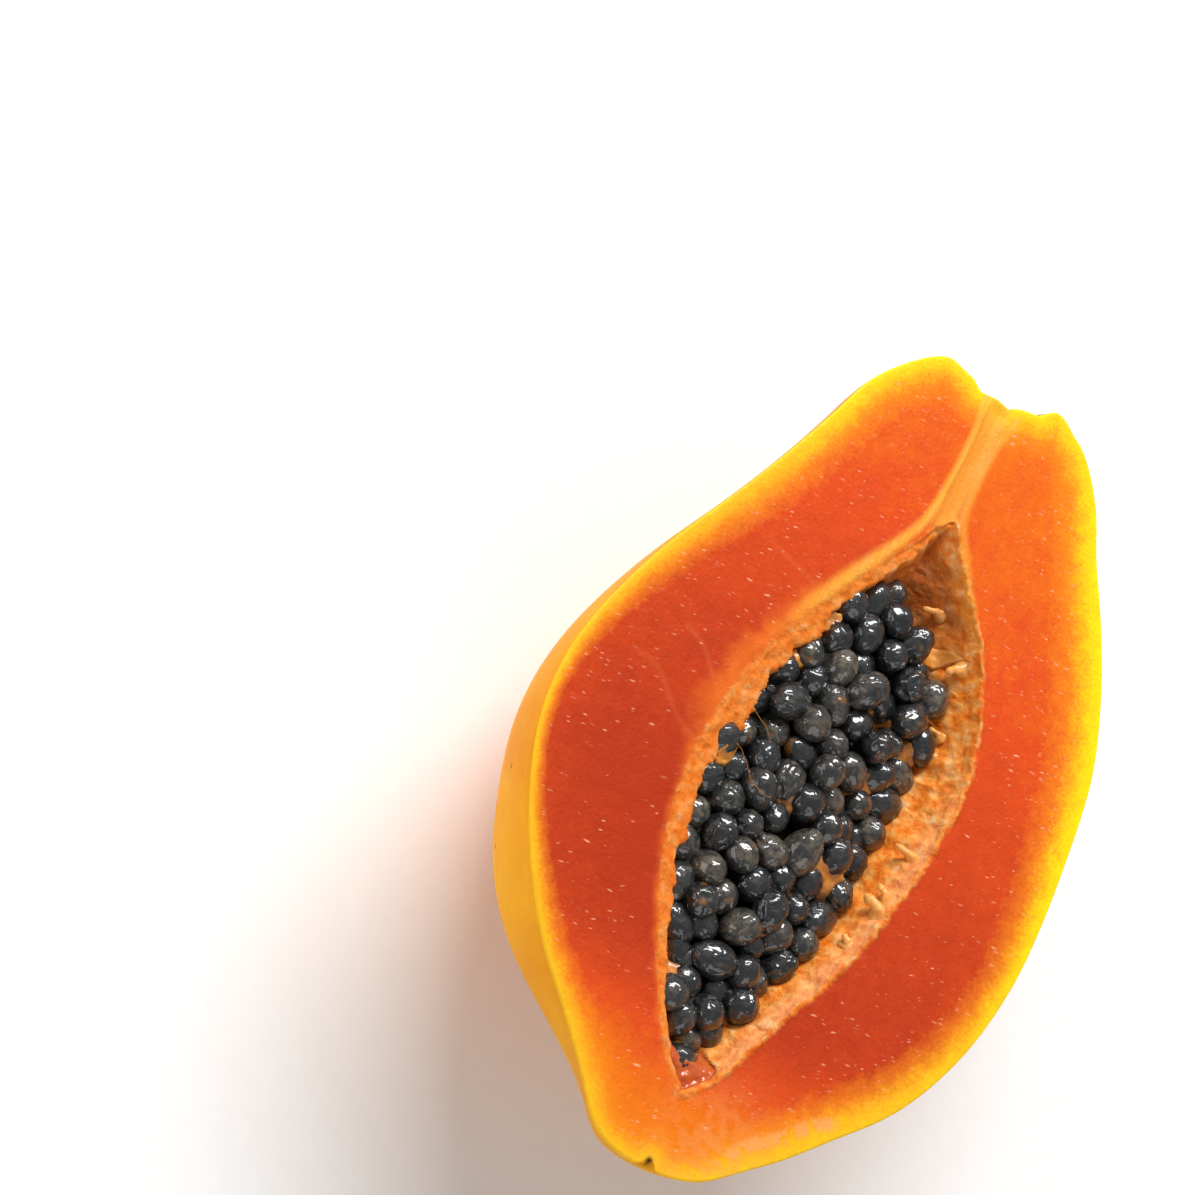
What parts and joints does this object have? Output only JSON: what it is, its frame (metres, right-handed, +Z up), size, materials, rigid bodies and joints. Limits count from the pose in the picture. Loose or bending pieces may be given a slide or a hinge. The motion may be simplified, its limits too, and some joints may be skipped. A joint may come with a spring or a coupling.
{
  "type": "papaya half",
  "caption": "Half of a ripe papaya cut lengthwise, lying on its skin with the cut face up and black seeds heaped in the cavity.",
  "frame": {"origin": "under the middle of the half's outline, on the surface it rests on", "axes": "+Z up out of the level cut face, +Y along the fruit towards its stem end, +X across the cut face to the right"},
  "size_m": [0.0944, 0.1446, 0.0468],
  "materials": {
    "flesh": "moist ripe papaya flesh, orange-red, inside a thin waxy yellow skin",
    "seed": "black papaya seed in a clear wet gel coat"
  },
  "bodies": {
    "root": {"papaya_half": "flesh", "seeds": "seed"}
  },
  "joints": []
}
